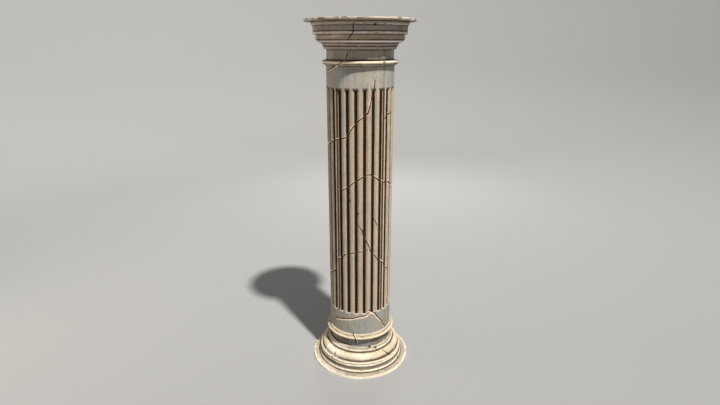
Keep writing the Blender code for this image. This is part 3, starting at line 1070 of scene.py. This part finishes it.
def stone(name, grey, grey_up, cream, edge_colour, edge_warm, dirt_and_shade_colour, fluted=False):
    """Weathered stone: grey plain faces, cream mouldings, pale arrises that are partly painted
    highlight, and brown crevices of dirt and painted shade.
    """
    recipe = StoneRecipe(name, fluted)
    colour = recipe.plain_faces(grey, grey_up)
    if fluted:
        colour = recipe.blend(recipe.flutes.inside, colour, recipe.fluted_faces())
    colour = recipe.moulded(colour, cream)
    colour = recipe.weathered(colour, edge_colour, edge_warm, dirt_and_shade_colour)
    if fluted:
        colour = recipe.flute_marks(colour, edge_colour)
    recipe.finish(recipe.cracked(colour, edge_colour))
    return recipe.material


shaft.data.materials.append(stone(
    "shaft_stone",
    grey=(0.35, 0.33, 0.28),
    grey_up=(0.46, 0.43, 0.385),
    cream=(0.72, 0.61, 0.44),
    edge_colour=(0.84, 0.74, 0.58),
    edge_warm=(0.84, 0.68, 0.48),
    dirt_and_shade_colour=(0.075, 0.045, 0.022),
    fluted=True,
))
base.data.materials.append(stone(
    "base_stone",
    grey=(0.21, 0.175, 0.14),
    grey_up=(0.21, 0.175, 0.14),
    cream=(0.66, 0.57, 0.43),
    edge_colour=(0.94, 0.88, 0.74),
    edge_warm=(0.92, 0.78, 0.60),
    dirt_and_shade_colour=(0.075, 0.045, 0.022),
))
# The capital's cream is darker than the base's: painted shade, as the capital lies in the shadow of
# its top plate
capital.data.materials.append(stone(
    "capital_stone",
    grey=(0.36, 0.32, 0.27),
    grey_up=(0.36, 0.32, 0.27),
    cream=(0.40, 0.335, 0.265),
    edge_colour=(0.84, 0.77, 0.72),
    edge_warm=(0.82, 0.70, 0.50),
    dirt_and_shade_colour=(0.075, 0.050, 0.036),
))

# Floor, light and camera
FLOOR_FLAT = 7.0
FLOOR_CURVE = 6.0
FLOOR_SLOPE = math.radians(50)  # less steep than the light, so it casts no shadow on the floor
FLOOR_RIM = 9.0  # height at which the slope ends
FLOOR_SIDES = 96
FLOOR_STEPS = 12
FLOOR_COLOUR = (0.33, 0.33, 0.33)
SUN_FROM = (0.281, -0.432, 0.915)
SUN_ANGLE = math.radians(2.8)
LENS = 24.445
SENSOR_WIDTH = 36.0
CAMERA_PLACE = (-0.002, -4.058, 2.826)
CAMERA_TILT = math.radians(71.87)  # 0 looks straight down, and 90 looks level


def backdrop():
    """A round matt pale floor that curves up into a slope on every side."""
    profile = [(FLOOR_FLAT, 0.0)]
    for step in range(1, FLOOR_STEPS + 1):
        turn = FLOOR_SLOPE * step / FLOOR_STEPS
        profile.append(
            (FLOOR_FLAT + FLOOR_CURVE * math.sin(turn), FLOOR_CURVE * (1.0 - math.cos(turn)))
        )
    radius, height = profile[-1]
    profile.append((radius + (FLOOR_RIM - height) / math.tan(FLOOR_SLOPE), FLOOR_RIM))
    mesh, _ = turned(evenly(FLOOR_SIDES), profile)
    bmesh.ops.reverse_faces(mesh, faces=mesh.faces)
    data = bpy.data.meshes.new("floor")
    mesh.to_mesh(data)
    mesh.free()
    data.shade_smooth()
    floor = new_object("floor", data)
    paper = Recipe("floor")
    paper.shader.inputs["Base Color"].default_value = (*FLOOR_COLOUR, 1.0)
    paper.shader.inputs["Roughness"].default_value = 0.95
    data.materials.append(paper.material)


backdrop()

sun = bpy.data.lights.new("key", "SUN")
sun.energy = 4.7
sun.angle = SUN_ANGLE
sun.color = (1.0, 0.97, 0.92)
key = new_object("key", sun)
key.rotation_mode = "QUATERNION"
key.rotation_quaternion = Vector(SUN_FROM).to_track_quat("Z", "Y")


def soft_light(name, energy, size, place, target, colour=(1.0, 1.0, 1.0)):
    """A square studio light at a place, turned towards the target."""
    data = bpy.data.lights.new(name, "AREA")
    data.energy = energy
    data.color = colour
    data.size = size
    light = new_object(name, data)
    light.location = place
    light.rotation_mode = "QUATERNION"
    light.rotation_quaternion = (Vector(place) - Vector(target)).to_track_quat("Z", "Y")
    light.visible_camera = False


soft_light("fill", 46.0, 3.0, (1.5, -7.3, 2.3), (0.0, 0.0, 1.7))
soft_light("side", 28.0, 1.6, (-4.6, -0.2, 2.2), (0.0, 0.0, 1.5), (1.0, 0.91, 0.77))
soft_light("back", 150.0, 3.0, (0.8, 6.8, 4.0), (0.0, 0.0, 1.6))

world = bpy.context.scene.world or bpy.data.worlds.new("studio")
bpy.context.scene.world = world
world.use_nodes = True
background = world.node_tree.nodes["Background"]
background.inputs["Color"].default_value = (1.0, 1.0, 1.0, 1.0)
background.inputs["Strength"].default_value = 0.02

camera_data = bpy.data.cameras.new("camera")
camera_data.lens = LENS
camera_data.sensor_width = SENSOR_WIDTH
camera = new_object("camera", camera_data)
camera.location = CAMERA_PLACE
camera.rotation_euler = (CAMERA_TILT, 0.0, 0.0)
bpy.context.scene.camera = camera
bpy.context.scene.view_settings.view_transform = "Standard"
